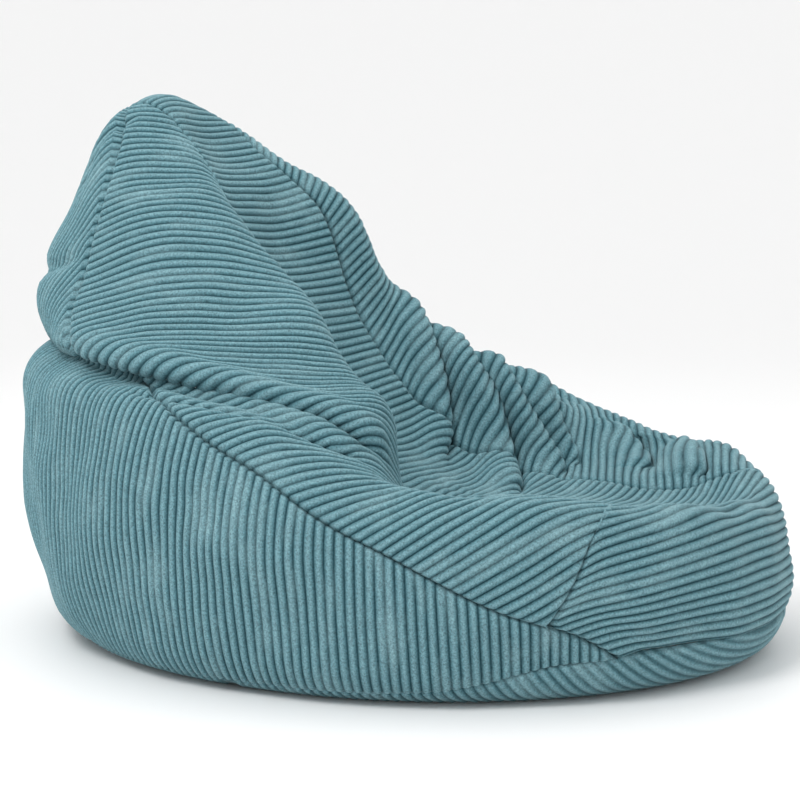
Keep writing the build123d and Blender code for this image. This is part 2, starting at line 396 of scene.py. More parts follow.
def trace_back(flat, wanted):
    """Row and column in the flat map of each wanted flat place, by Newton's method."""
    rows, columns = flat.shape[:2]
    i, j = np.meshgrid(np.arange(rows), np.arange(columns), indexing="ij")
    nodes, places = flat.reshape(-1, 2), np.stack([i, j], -1).reshape(-1, 2).astype(float)
    target = wanted.reshape(-1, 2)
    found = np.empty((len(target), 2))
    for k in range(0, len(target), SEARCH_SHARE):
        part = target[k:k + SEARCH_SHARE]
        gap = ((part[:, None, :] - nodes[None]) ** 2).sum(-1)
        found[k:k + SEARCH_SHARE] = places[gap.argmin(1)]
    small = 1e-3
    top = np.array([rows - 1.0, columns - 1.0])
    for _ in range(NEWTON_ROUNDS):
        i, j = found.T
        here = read_grid(flat, i, j, False)
        side = np.where(found + small > top, -small, small)
        down = (read_grid(flat, i + side[:, 0], j, False) - here) / side[:, :1]
        across = (read_grid(flat, i, j + side[:, 1], False) - here) / side[:, 1:]
        miss = target - here
        size = down[:, 0] * across[:, 1] - down[:, 1] * across[:, 0]
        size = np.where(np.abs(size) < 1e-10, 1e-10, size)
        move = np.stack([(miss[:, 0] * across[:, 1] - miss[:, 1] * across[:, 0]) / size,
                         (miss[:, 1] * down[:, 0] - miss[:, 0] * down[:, 1]) / size], -1)
        found = np.clip(found + np.clip(move, -1.5, 1.5), 0, top)
    return found.reshape(wanted.shape)


def turn(points, angle):
    """Turn flat places by an angle in degrees."""
    a = math.radians(angle)
    x, y = points[..., 0], points[..., 1]
    return np.stack([x * math.cos(a) - y * math.sin(a), x * math.sin(a) + y * math.cos(a)], -1)


# %% [markdown]
# ## Leaning and sagging
# No two bean bags slump alike.  A few soft pushes make this one its own: the near wing of the
# back rolls forward over the seat, the far one leans in, and the far arm and the front corner
# sink a little.  A push is strongest at its centre and fades as a bell curve.

# %% Push the stuffing about
PUSHES = [
    ("near wing", (-0.22, -0.01, 0.35), (0.09, 0.09, 0.10), (0.0, -0.045, 0.004)),
    ("far wing", (0.18, 0.07, 0.39), (0.09, 0.12, 0.08), (0.0, 0.046, 0.0)),
    ("far shoulder", (0.13, 0.17, 0.52), (0.08, 0.08, 0.05), (0.0, -0.022, 0.016)),
    ("peak", (-0.06, 0.36, 0.62), (0.05, 0.06, 0.04), (-0.008, 0.006, 0.004)),
    ("far arm", (0.33, 0.05, 0.30), (0.08, 0.14, 0.09), (0.0, 0.0, -0.012)),
    ("front corner", (0.15, -0.42, 0.18), (0.12, 0.10, 0.08), (0.0, 0.0, -0.020)),
]


def push(grid, centre, spread, move):
    """Move points by a vector that fades with distance, as a bell curve, from a centre."""
    away = ((grid - np.array(centre)) / np.array(spread)) ** 2
    return grid + np.exp(-away.sum(-1, keepdims=True) / 2) * np.array(move)


for _, centre, spread, move in PUSHES:
    bag = push(bag, centre, spread, move)
out_of_bag = outward(bag)
print("after the pushes", bag.reshape(-1, 3).min(0).round(3), bag.reshape(-1, 3).max(0).round(3))

# %% [markdown]
# ## Folds
# Where the stuffing gives way the cloth has too much length, and it folds.  A crease is a
# plain groove.  A tuck is a fold that rolls over its own groove: a rounded lip on one side,
# moved sideways so that it hangs over the groove on the other.
# The folds are drawn as short lines on the bag, each by azimuth and ring number.  Azimuths
# above 90 are on the sitter's right, the near side.

# %% Folds
CREASES = [
    # name, points (azimuth, ring), depth, half width
    ("behind the back, far", [(88, 8.9), (74, 8.9), (58, 8.8), (45, 8.4), (32, 8.0),
                              (20, 7.4), (12, 7.2), (4, 6.2)], 0.022, 0.013),
    ("second fold, far", [(36, 10.1), (24, 9.9), (12, 9.6), (5, 8.4)], 0.012, 0.013),
    ("back dimple, upper", [(92, 7.9), (106, 7.6), (113, 7.3), (118, 6.9)], 0.009, 0.012),
    ("back dimple, lower", [(96, 8.7), (112, 8.4), (125, 7.8)], 0.009, 0.012),
    ("back dimple, far", [(84, 8.0), (70, 7.6), (60, 7.0)], 0.010, 0.014),
    ("top dimple", [(101, 5.6), (103, 6.2), (107, 6.8)], 0.008, 0.012),
    ("flank dent", [(150, 11.2), (160, 11.6), (168, 11.7)], 0.003, 0.020),
    ("base rear dent", [(100, 12.2), (116, 12.5)], 0.004, 0.020),
]
TUCKS = [
    # name, points from the top of the fold to its foot, lip height, half width, lip side
    ("behind the back, near", [(84, 8.9), (100, 8.9), (112, 8.8), (122, 8.5), (134, 8.1),
                               (148, 7.8), (160, 7.3), (166, 7.0), (172, 6.2), (175, 5.0)],
     0.010, 0.013, -1),
    ("second fold, near", [(140, 10.1), (149, 9.9), (158, 9.5), (166, 8.9), (171, 8.1),
                           (176, 7.0)], 0.005, 0.012, -1),
    ("far A", [(44, 6.3), (43, 4.8), (43, 3.5), (46, 2.5), (52, 1.6)], 0.017, 0.016, 1),
    ("far B", [(36, 6.8), (33, 5.1), (29, 3.8), (25, 2.6), (18, 1.3), (8, 0.7)], 0.021, 0.019, 1),
    ("far C", [(26, 6.8), (22, 5.0), (17, 3.7), (9, 2.6), (-4, 1.6)], 0.018, 0.018, 1),
    ("far D", [(13, 6.8), (9, 4.8), (4, 3.3), (-3, 2.2)], 0.014, 0.017, 1),
    ("far E", [(0, 8.4), (-9, 5.8), (-16, 4.0), (-24, 2.9)], 0.012, 0.018, 1),
    ("far F", [(-18, 8.2), (-28, 6.0), (-37, 4.5), (-43, 3.6)], 0.011, 0.018, 1),
    ("near A", [(139, 4.2), (139, 3.3), (136, 2.4)], 0.009, 0.011, -1),
    ("near B", [(150, 4.4), (154, 3.6), (160, 2.4), (170, 1.2)], 0.010, 0.012, -1),
    ("near C", [(192, 4.4), (196, 3.2), (204, 2.2)], 0.008, 0.011, -1),
    ("near D", [(202, 6.0), (208, 4.8), (214, 3.7)], 0.005, 0.011, -1),
]


FOLD_STEPS = 60
TUCK_DEPTH = 0.008
LUMP_SEED, LUMP_WAVES, LUMP_LENGTHS, LUMP_HEIGHT = 5, 36, (0.06, 0.18), 0.00045


def distance_to_line(points, line):
    """Distance of points from a line of short pieces, their offset from the nearest place on
    it, and how far along the line, 0 to 1, that place is."""
    best = np.full(len(points), np.inf)
    along = np.zeros(len(points))
    offset = np.zeros((len(points), 3))
    for k in range(len(line) - 1):
        piece = line[k + 1] - line[k]
        t = np.clip((points - line[k]) @ piece / (piece @ piece), 0, 1)
        gap = points - line[k] - t[:, None] * piece
        far = np.linalg.norm(gap, axis=1)
        nearer = far < best
        best = np.where(nearer, far, best)
        along = np.where(nearer, (k + t) / (len(line) - 1), along)
        offset = np.where(nearer[:, None], gap, offset)
    return best, offset, along


def fold_line(grid, corners):
    """The line on the bag through a few (azimuth, ring) corners, drawn smoothly."""
    corners = np.array(corners, float)
    t = np.linspace(0, len(corners) - 1, FOLD_STEPS)
    smooth = natural_spline(np.arange(len(corners)), corners, t)
    return on_bag(grid, disc_of(smooth[:, 0], smooth[:, 1]))


def line_normal(normal, corners, along):
    """The bag's outward direction at the nearest place of a fold line."""
    corners = np.array(corners, float)
    t = along * (len(corners) - 1)
    k = np.clip(t.astype(int), 0, len(corners) - 2)
    here = corners[k] + (t - k)[:, None] * (corners[k + 1] - corners[k])
    return on_bag(normal, disc_of(here[:, 0], here[:, 1]))


def near_fold(grid, normal, corners, reach):
    """The fold's line, the numbers of the grid points within reach of it, their distance,
    offset and place along it, and whether they face the way the fold does."""
    flat, out = grid.reshape(-1, 3), normal.reshape(-1, 3)
    line = fold_line(grid, corners)
    near = np.flatnonzero(((flat > line.min(0) - reach) & (flat < line.max(0) + reach)).all(1))
    gap, offset, along = distance_to_line(flat[near], line)
    facing = (out[near] * line_normal(normal, corners, along)).sum(1) > 0.2
    return line, near, gap, offset, along, facing


def fold_moves(grid, normal):
    """How far, and which way, every grid point moves for all the creases and tucks.

    A crease goes in by a bell curve of the distance.  A tuck, with s the distance to the side
    of its line, goes out by one bell curve at s = -width and in by a sharper one just past
    the line, and rolls sideways by a third.  Both fade towards their ends.
    """
    out = normal.reshape(-1, 3)
    moves = np.zeros_like(out)
    for _, corners, depth, width in CREASES:
        _, near, gap, _, along, facing = near_fold(grid, normal, corners, 3 * width)
        ends = smooth_step(0, 0.18, along) * (1 - smooth_step(0.75, 1, along))
        moves[near] -= out[near] * (facing * ends * depth * np.exp(-(gap / width) ** 2))[:, None]
    for _, corners, lip, width, side in TUCKS:
        line, near, gap, offset, along, facing = near_fold(grid, normal, corners, 4 * width)
        step = np.gradient(line, axis=0)[np.round(along * (len(line) - 1)).astype(int)]
        step /= np.linalg.norm(step, axis=1, keepdims=True)
        sideways = side * np.cross(out[near], step)
        s = (offset * sideways).sum(1)
        beyond = np.exp(-((gap**2 - s**2).clip(0) / width**2))
        ends = smooth_step(0, 0.22, along) * (1 - 0.8 * smooth_step(0.85, 1, along)) * beyond
        groove = 0.6 * lip + TUCK_DEPTH
        rise = lip * np.exp(-((s + width) / width) ** 2) \
            - groove * np.exp(-((s - 0.35 * width) / (0.6 * width)) ** 2)
        roll = 0.9 * width * np.exp(-((s + 0.5 * width) / (0.8 * width)) ** 2)
        moves[near] += (facing * ends)[:, None] * (out[near] * rise[:, None]
                                                   + sideways * roll[:, None])
    return moves.reshape(grid.shape)


def settled_lumps(grid, normal):
    """Small lumps and hollows where the beads have settled: a sum of waves with random
    directions and lengths, moving each point in or out by a millimetre or two."""
    rng = np.random.default_rng(LUMP_SEED)
    total = np.zeros(grid.shape[:2])
    for _ in range(LUMP_WAVES):
        way = rng.standard_normal(3)
        length = rng.uniform(*LUMP_LENGTHS)
        wave = grid @ (way / np.linalg.norm(way) * 2 * math.pi / length)
        total += np.sin(wave + rng.uniform(0, 2 * math.pi)) * length / np.mean(LUMP_LENGTHS)
    clear_of_floor = smooth_step(0.004, 0.05, grid[..., 2])
    return (LUMP_HEIGHT * total * clear_of_floor)[..., None] * normal


folded_bag = bag + fold_moves(bag, out_of_bag) + settled_lumps(bag, out_of_bag)
out_of_folds = outward(folded_bag)
print("folds", len(CREASES), "creases,", len(TUCKS), "tucks, deepest move",
      round(float(np.abs(folded_bag - bag).max()), 3))

# %% [markdown]
# ## Where the panels meet
# Each seam is a line on the bag.  The back panel runs from the base up to the back seam, the
# seat panel is a strip from the top of the back down the middle and over the front, and a
# side panel fills the long leaf between them.  Seams are drawn by azimuth and ring number.

# %% Seams
BACK_SEAM = [(-49, 12.96), (-42, 12.6), (-35, 12.4), (-28, 12.25), (-19, 11.95), (-10, 11.6),
             (1, 11.25), (12, 10.93), (20, 10.75), (28, 10.4), (35, 9.8), (41, 9.0), (47, 8.3),
             (55, 7.75), (62, 6.95), (68, 6.3), (75, 5.9), (83, 5.75), (90, 5.6)]
BASE_SEAM = [(-90, 12.87), (-67, 12.87), (-49, 12.96), (-37, 13.2), (-20, 13.8), (0, 14.05),
             (30, 14.1), (60, 14.1), (90, 14.1)]
SEAT_SEAM = [(-36, 12.42), (-40, 11.8), (-44, 11.0), (-49, 9.8), (-51, 8.0), (-50, 5.0),
             (-46, 3.0), (-34, 2.0), (0, 1.5), (40, 1.9), (60, 2.8), (70, 3.6), (77, 4.2),
             (82, 4.8), (84, 5.7)]


SEAM_STEPS = 1200
TOP_AZIMUTH, TIP_AZIMUTH = 84.0, -36.0
FRONT_CORNER = -49


def seam_curve(corners):
    """A seam as many places (azimuth, ring), its corners rounded by a moving average."""
    corners = np.array(corners, float)
    t = np.linspace(0, len(corners) - 1, SEAM_STEPS)
    fine = np.stack([np.interp(t, np.arange(len(corners)), corners[:, k]) for k in (0, 1)], -1)
    half = SEAM_STEPS // len(corners) // 2
    weight = np.hanning(2 * half + 3)[1:-1]
    padded = np.pad(fine, ((half, half), (0, 0)), mode="reflect", reflect_type="odd")
    return np.stack([np.convolve(padded[:, k], weight / weight.sum(), "valid")
                     for k in (0, 1)], -1)


def seam_points(curve, count):
    """Places on the disc along a seam, equally far apart on the bag itself."""
    disc = disc_of(curve[:, 0], curve[:, 1])
    length = running_length(on_bag(bag, disc))
    wanted = np.linspace(0, length[-1], count)
    return np.stack([np.interp(wanted, length, disc[:, k]) for k in (0, 1)], -1)


def mirrored(disc):
    """The same places on the other side of the chair."""
    return disc * np.array([-1.0, 1.0])


def ruled_patch(first, last, rows):
    """Disc places of a panel: straight lines on the disc from one edge to the other."""
    v = np.linspace(0, 1, rows)[:, None, None]
    return (1 - v) * first[None] + v * last[None]


def bowed_patch(top, front, side):
    """Disc places of the seat panel.  Each row is a parabola from one side edge, through a
    point of the middle line, to the mirrored edge; the middle points are equally far apart on
    the bag.  The first and last rows are eased onto the top and front edges."""
    rows, columns = len(side), len(top)
    down = np.linspace(top[columns // 2, 1], front[columns // 2, 1], 400)
    line = np.stack([0 * down, down], -1)
    length = running_length(on_bag(bag, line))
    middle = np.interp(np.linspace(0, length[-1], rows), length, line[:, 1])
    w = np.linspace(1, -1, columns)[None, :]
    x = side[:, :1] * w
    y = side[:, 1:] + (middle[:, None] - side[:, 1:]) * (1 - w**2)
    patch = np.stack([x, y], -1)
    v = np.linspace(0, 1, rows)[:, None, None]
    return patch + v**8 * (front - patch[-1]) + (1 - v)**12 * (top - patch[0])


def azimuth_line(corners, azimuths):
    """Disc places of a seam at given azimuths."""
    corners = np.array(sorted(corners), float)
    folded = np.where(azimuths > 90, 180 - azimuths, azimuths)
    ring = natural_spline(corners[:, 0], corners[:, 1], folded)
    return disc_of(azimuths, ring)


back_curve = seam_curve(BACK_SEAM)
top_place, tip_place = (back_curve[np.abs(back_curve[:, 0] - azimuth).argmin()]
                        for azimuth in (TOP_AZIMUTH, TIP_AZIMUTH))
seat_curve = seam_curve([tuple(tip_place)] + SEAT_SEAM[1:-1] + [tuple(top_place)])
seat_curve[0], seat_curve[-1] = tip_place, top_place

half_back = seam_points(back_curve, 47)
whole_back = np.concatenate([half_back, mirrored(half_back[-2::-1])])
back_azimuth = np.degrees(np.arctan2(whole_back[:, 1], whole_back[:, 0]))
back_azimuth = np.where(back_azimuth < -90, back_azimuth + 360, back_azimuth)
back_patch = ruled_patch(whole_back, azimuth_line(BASE_SEAM, back_azimuth), 17)

between = (back_curve[:, 0] <= top_place[0]) & (back_curve[:, 0] >= tip_place[0])
side_first = seam_points(back_curve[between][::-1], 65)
side_last = seam_points(seat_curve[::-1], 65)
left_patch = ruled_patch(side_first, side_last, 21)

to_corner = back_curve[back_curve[:, 0] <= tip_place[0]]
seat_edge = seam_points(np.concatenate([seat_curve[::-1], to_corner[::-1]]), 75)
top_edge = seam_points(back_curve[back_curve[:, 0] >= top_place[0]], 10)
top_edge = mirrored(np.concatenate([top_edge, mirrored(top_edge[-2::-1])]))
front_edge = azimuth_line(BASE_SEAM, np.linspace(FRONT_CORNER, -180 - FRONT_CORNER, 19))
front_edge[[0, -1]] = seat_edge[-1], mirrored(seat_edge[-1])
seat_patch = bowed_patch(mirrored(top_edge), front_edge, seat_edge)
print("patches", back_patch.shape, left_patch.shape, seat_patch.shape)

# %% [markdown]
# ## Three flat patterns
# Now each patch is pressed flat, which gives the pattern a sewer would cut.  The back panel
# comes out as a long leaf with two points, the side panel as a curved leaf, and the seat
# panel as a strip that widens over the seat.

# %% Flat patterns


def unrolled(points):
    """A first guess at the flat pattern: the middle column line laid out straight, and each
    row line laid across it at its true distances."""
    step = np.linalg.norm(np.diff(points, axis=1), axis=2)
    middle = step[len(points) // 2]
    along = np.concatenate([[0], np.cumsum(middle)])
    gap = np.linalg.norm(np.diff(points, axis=0), axis=2)
    across = np.concatenate([np.zeros((1, points.shape[1])), np.cumsum(gap, axis=0)])
    across -= across[len(points) // 2]
    return np.stack([np.broadcast_to(along, across.shape), across], -1)


def stretch_of(points, flat):
    """How much longer the bag's lines are than the pattern's: low, middle and high ratios."""
    ratios = [np.linalg.norm(np.diff(points, axis=k), axis=2)
              / (np.linalg.norm(np.diff(flat, axis=k), axis=2) + 1e-6) for k in (0, 1)]
    ratios = np.concatenate([r[r > 0].ravel() for r in ratios])
    return np.percentile(ratios, [5, 50, 95]).round(3)


def flat_pattern(patch, rounds):
    """The flat pattern of a patch, with its stretch printed."""
    points = on_bag(bag, patch)
    flat = press_flat(points, unrolled(points), rounds)
    print("  stretch", stretch_of(points, flat), "size", (flat.reshape(-1, 2).max(0)
          - flat.reshape(-1, 2).min(0)).round(3))
    return flat


back_flat = flat_pattern(back_patch, 300)
side_flat = flat_pattern(left_patch, 300)
seat_flat = flat_pattern(seat_patch.swapaxes(0, 1), 200)

# %% [markdown]
# ## Which way the ribs run
# On the back panel the ribs stand upright at the rear.  On the seat panel they run straight
# across.  On the side panels they meet the back panel's ribs at the back seam in a chevron,
# like the feathers of an arrow.  So the side pattern is turned until its ribs lean from the
# seam by the same angle as the back panel's do.

# %% Turn the patterns


def heading(vector):
    """Direction of a flat vector in degrees."""
    return math.degrees(math.atan2(vector[1], vector[0]))


back_flat = turn(back_flat, 90 - heading(back_flat[-1, 46] - back_flat[0, 46]))
seat_flat = turn(seat_flat, -heading(seat_flat[9, -1] - seat_flat[9, 0]))

leans = []
for k in range(38, 58, 2):
    m = [int(np.linalg.norm(back_patch[0] - side_first[j], axis=1).argmin())
         for j in (k - 1, k + 2)]
    lean = 90 - heading(back_flat[0, m[1]] - back_flat[0, m[0]])
    leans.append((heading(side_flat[0, k + 2] - side_flat[0, k - 1]) - lean) % 180)
SIDE_TURN = 90 - float(np.median(leans))
print("ribs lean from the side pattern's seam, turned by", round(SIDE_TURN, 1))
side_flat = turn(side_flat, SIDE_TURN)

# %% [markdown]
# ## Easing the seat panel's ends
# The front of the seat panel ends on the base seam.  A sewer eases the cloth so that a rib
# lies along that seam, so the pattern's curved front edge is straightened.

# %% Ease the front and top edges of the seat pattern
share = np.linspace(0, 1, seat_flat.shape[1])[None, :]
front, top = seat_flat[:, -1:, 0], seat_flat[:, :1, 0]
straight_front = front.max() * 0.6 + front.mean() * 0.4
seat_flat[..., 0] += smooth_step(0.80, 1, share) * (straight_front - front)
seat_flat[..., 0] += (1 - smooth_step(0, 0.06, share)) * (top.mean() - top)
print("seat pattern", seat_flat.reshape(-1, 2).min(0).round(3),
      seat_flat.reshape(-1, 2).max(0).round(3))

# %% [markdown]
# ## The cord itself
# Wide-wale cord has round ribs of cut pile, about 11 mm apart and 3 mm high, with narrow
# grooves between them where the ground weave shows.  The ribs are modelled, because their
# rounded edges show on the outline.  The pile's hair is finer than any mesh and goes in the
# material.

# %% Cord profile
RIB_PITCH = 0.0106
RIB_HEIGHT = 0.0032
SEAM_DIP = 0.0020
SEAM_WIDTH = 0.0022
ALLOWANCE = 0.006
OVERLAP = 0.002
RIB_UNEVENNESS = 0.08
BAG_MIDDLE = np.array([0.0, -0.02, 0.10])


def rib_shape(phase):
    """Height of a rib, 0 to 1: the sine of half a turn, to the power 0.75."""
    f = phase - np.floor(phase + 1e-9)
    return np.clip(np.sin(math.pi * f), 0, 1) ** 0.75


def edge_distance(flat, loop):
    """Flat distance of every point of a panel from the panel's cut edge."""
    points = flat.reshape(-1, 2)
    best = np.full(len(points), np.inf)
    for k in range(len(loop)):
        a, b = loop[k], loop[(k + 1) % len(loop)]
        piece = b - a
        size = piece @ piece
        if size < 1e-12:
            continue
        t = np.clip((points - a) @ piece / size, 0, 1)
        best = np.minimum(best, np.linalg.norm(points - a - t[:, None] * piece, axis=1))
    return best.reshape(flat.shape[:2])


def spread_rows(count, crowded):
    """Row places 0 to 1, closer together near the given places."""
    s = np.linspace(0, 1, 400)
    density = np.ones(400) + sum(1.3 * np.exp(-((s - c) / 0.10) ** 2) for c in crowded)
    total = np.concatenate([[0], np.cumsum((density[1:] + density[:-1]) / 2)])
    return np.interp(np.linspace(0, total[-1], count), total, s)


def tuck_under(point, rim, out):
    """The turned-in seam allowance: the outer ring moves inward, and a little past the seam
    under the next panel, so no light shows between two panels."""
    past = np.zeros_like(point)
    past[0] += point[0] - point[1]
    past[-1] += point[-1] - point[-2]
    past[:, 0] += point[:, 0] - point[:, 1]
    past[:, -1] += point[:, -1] - point[:, -2]
    size = np.linalg.norm(past, axis=-1, keepdims=True)
    past = past / np.maximum(size, 1e-9) * OVERLAP
    return point + rim[..., None] * (past - ALLOWANCE * out)


def cord_panel(patch, flat, per_rib, rows, seed, crowded=()):
    """Points, flat places and rib heights of one cord panel lying on the folded bag.

    Columns run along the ribs.  A point is the folded bag's, plus the rib's height along the
    outward direction, less a dip at the seams; the outer ring is the turned-in allowance.
    """
    ruled = rule_columns(flat, RIB_PITCH / per_rib, rows)
    low, high = ruled[0, :, 1], ruled[-1, :, 1]
    ruled[..., 1] = low + spread_rows(rows, crowded)[:, None] * (high - low)
    place = trace_back(flat, ruled)
    disc = read_grid(patch, place[..., 0], place[..., 1], False)
    point, out = on_bag(folded_bag, disc), on_bag(out_of_folds, disc)
    out /= np.linalg.norm(out, axis=-1, keepdims=True)
    from_edge = edge_distance(ruled, edge_loop(flat))
    phase = ruled[..., 0] / RIB_PITCH
    rib = rib_shape(phase)
    rng = np.random.default_rng(seed)
    number = np.floor(phase - phase.min()).astype(int)
    uneven = 1 + RIB_UNEVENNESS * rng.standard_normal(number.max() + 2)[number]
    full = smooth_step(-0.001, 0.005, from_edge)
    height = RIB_HEIGHT * uneven * rib * (0.25 + 0.75 * full)
    dip = SEAM_DIP * np.exp(-(from_edge / SEAM_WIDTH) ** 2)
    point = point + out * (height - dip)[..., None]
    rim = np.zeros(point.shape[:2], bool)
    rim[[0, -1]] = rim[:, [0, -1]] = True
    return tuck_under(point, rim, on_bag(out_of_bag, disc)), ruled, rib, from_edge


def add_mesh(name, points, faces):
    """A smooth-shaded object made of points and faces, put in the scene."""
    mesh = bpy.data.meshes.new(name)
    mesh.from_pydata(points.reshape(-1, 3).tolist(), [], faces)
    mesh.polygons.foreach_set("use_smooth", np.ones(len(mesh.polygons), bool))
    mesh.update()
    piece = bpy.data.objects.new(name, mesh)
    bpy.context.scene.collection.objects.link(piece)
    return piece


def grid_mesh(name, point, flat, rib, edge):
    """A piece made of a grid, with its flat places as the UV map in metres, the rib height
    and the distance from the seam as attributes, and faces turned outward."""
    quads = squares_of(*point.shape[:2])
    p = point.reshape(-1, 3)
    normal = np.cross(p[quads[:, 2]] - p[quads[:, 0]], p[quads[:, 3]] - p[quads[:, 1]])
    from_middle = p[quads].mean(1) - BAG_MIDDLE
    if (normal * from_middle).sum() < 0:
        quads = quads[:, ::-1]
    piece = add_mesh(name, p, quads.tolist())
    mesh = piece.data
    uv = mesh.uv_layers.new(name="flat")
    uv.data.foreach_set("uv", flat.reshape(-1, 2)[quads.ravel()].astype(np.float32).ravel())
    for title, values in (("rib", rib), ("edge", edge)):
        layer = mesh.attributes.new(title, "FLOAT", "POINT")
        layer.data.foreach_set("value", values.astype(np.float32).ravel())
    mesh.update()
    return piece


def flat_size(flat):
    """Sides and area of a flat pattern, in metres, with the seam allowance left out."""
    loop = edge_loop(flat)
    x, y = loop[:, 0], loop[:, 1]
    area = abs((x * np.roll(y, -1) - y * np.roll(x, -1)).sum()) / 2
    return [float(np.ptp(x)), float(np.ptp(y))], float(area)


PANELS = [
    # place of the panel, patch, flat pattern, columns per rib, rows, crowded rows
    ("back_panel", back_patch, back_flat, 6, 77, (0.42,)),
    ("side_panel_left", left_patch, side_flat, 8, 108, ()),
    ("side_panel_right", mirrored(left_patch), side_flat, 8, 108, ()),
    ("seat_panel", seat_patch.swapaxes(0, 1), seat_flat, 8, 100, ()),
]
cord_pieces = []
for seed, (place, patch, flat, per_rib, rows, crowded) in enumerate(PANELS):
    made = cord_panel(patch, flat, per_rib, rows, seed, crowded)
    size, area = flat_size(flat)
    cord_pieces.append((grid_mesh("cord_" + place, *made), place, size, area))
    print(place, made[0].shape, "pattern", [round(s, 3) for s in size], "area", round(area, 3))

# %% [markdown]
# ## Teal cord
# The ribs are a muted teal, with painted shade darkening the grooves and a painted highlight
# lightening the crests.  Where hands have stroked the pile it lies another way, and a paler
# streak is left, its sheen painted into the colour.  Each hair is too fine to see, but together
# they make the surface sparkle a little, so the bump is a fine speckle.

# %% Material helpers


def new_material(name):
    """A named node material; returns it with its node tree and main shader."""
    material = bpy.data.materials.new(name)
    material.use_nodes = True
    return material, material.node_tree, material.node_tree.nodes["Principled BSDF"]


def feed(tree, made, inputs):
    """Give each named input of a node a constant, or a link from another node's socket."""
    for key, value in inputs.items():
        if isinstance(value, bpy.types.NodeSocket):
            tree.links.new(value, made.inputs[key])
        else:
            made.inputs[key].default_value = value


def node(tree, kind, output, inputs=None, **settings):
    """Add a node, set its properties, feed its inputs, and return one of its outputs."""
    made = tree.nodes.new("ShaderNode" + kind)
    for key, value in settings.items():
        setattr(made, key, value)
    feed(tree, made, inputs or {})
    return made.outputs[output]


def ramp(tree, source, stops):
    """A colour ramp fed by a socket, with stops of (place, colour)."""
    made = tree.nodes.new("ShaderNodeValToRGB")
    elements = made.color_ramp.elements
    elements[0].position, elements[0].color = stops[0]
    elements[1].position, elements[1].color = stops[-1]
    for place, colour in stops[1:-1]:
        elements.new(place).color = colour
    feed(tree, made, {"Fac": source})
    return made.outputs["Color"]


def roughen(tree, shader, height, strength, depth, **settings):
    """Bump a shader's surface by a socket's value."""
    bump = node(tree, "Bump", "Normal", {"Height": height, "Strength": strength,
                                         "Distance": depth}, **settings)
    feed(tree, shader, {"Normal": bump})


def cord_material(name, groove_shade, crest, crest_highlight, brushed_nap_sheen):
    """Cord: colour from painted groove shade to a painted crest highlight by the rib attribute,
    pale nap streaks painted as sheen, speckled pile.
    """
    material, tree, shader = new_material(name)
    rib = node(tree, "Attribute", "Fac", attribute_name="rib")
    edge = node(tree, "Attribute", "Fac", attribute_name="edge")
    where = node(tree, "TexCoord", "Object")
    flat_place = node(tree, "UVMap", "UV", uv_map="flat")
    # painted shade in the grooves and a painted highlight on the crests, by rib height
    base = ramp(tree, rib, [(0.12, groove_shade), (0.72, crest), (1.0, crest_highlight)])
    along_ribs = node(tree, "Mapping", "Vector", {"Vector": flat_place,
                                                  "Scale": (30.0, 9.0, 1.0)})
    # pale streaks along the ribs: brushed nap, with its sheen painted as lighter colour
    streak = node(tree, "TexNoise", "Fac", {"Vector": along_ribs, "Scale": 1.0, "Detail": 4.0,
                                            "Roughness": 0.6})
    amount = node(tree, "MapRange", "Result", {"Value": streak, "From Min": 0.50,
                                               "From Max": 0.72, "To Max": 0.55})
    colour = node(tree, "Mix", "Result", {"Factor": amount, "A": base, "B": brushed_nap_sheen},
                  data_type="RGBA")
    hair = node(tree, "TexNoise", "Fac", {"Vector": where, "Scale": 430.0, "Detail": 3.0,
                                          "Roughness": 0.75})
    speckle = node(tree, "MapRange", "Result", {"Value": hair, "From Min": 0.3, "From Max": 0.7,
                                                "To Min": 0.55, "To Max": 1.40})
    seam = node(tree, "MapRange", "Result", {"Value": edge, "From Max": 0.0028,
                                             "To Min": 0.72})
    for share in (speckle, seam):
        colour = node(tree, "VectorMath", "Vector", {0: colour, "Scale": share},
                      operation="SCALE")
    roughen(tree, shader, hair, 0.6, 0.0010)
    feed(tree, shader, {"Base Color": colour, "Roughness": 0.9, "Sheen Weight": 0.18,
                        "Sheen Roughness": 0.45, "Sheen Tint": (0.62, 0.78, 0.80, 1),
                        "Specular IOR Level": 0.15})
    return material


# colours: painted groove shade, the cord's own teal, painted crest highlight, pale painted nap
# sheen
teal_cord = cord_material("teal_cord", (0.020, 0.064, 0.080, 1), (0.098, 0.217, 0.252, 1),
                          (0.160, 0.300, 0.340, 1), (0.230, 0.380, 0.415, 1))


def dress(piece, node_name, material):
    """Give a piece its material, hide the CAD node that it replaces, and attach it to the bag's
    body.
    """
    piece.data.materials.append(material)
    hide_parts(node_name)
    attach(piece, "bag")


for piece, node_name, size, area in cord_pieces:
    dress(piece, node_name, teal_cord)
print("cord on", len(cord_pieces), "panels")

# %% [markdown]
# ## The liner and the beads
# Under the cover is a thin liner that holds the beads, so the cover can be washed.  Both take
# the bag's shape, a little inside it.  They follow the cover's folds, because the folds press
# into them.

# %% Liner and bead fill
LINER_INSET, FILL_INSET = 0.0115, 0.0155
LINER_BOTTOM, FILL_BOTTOM = 0.0115, 0.0145
BEAD_ROUGHNESS = 0.0006
INNER_EVERY = 4
BOTTOM_RINGS = 24


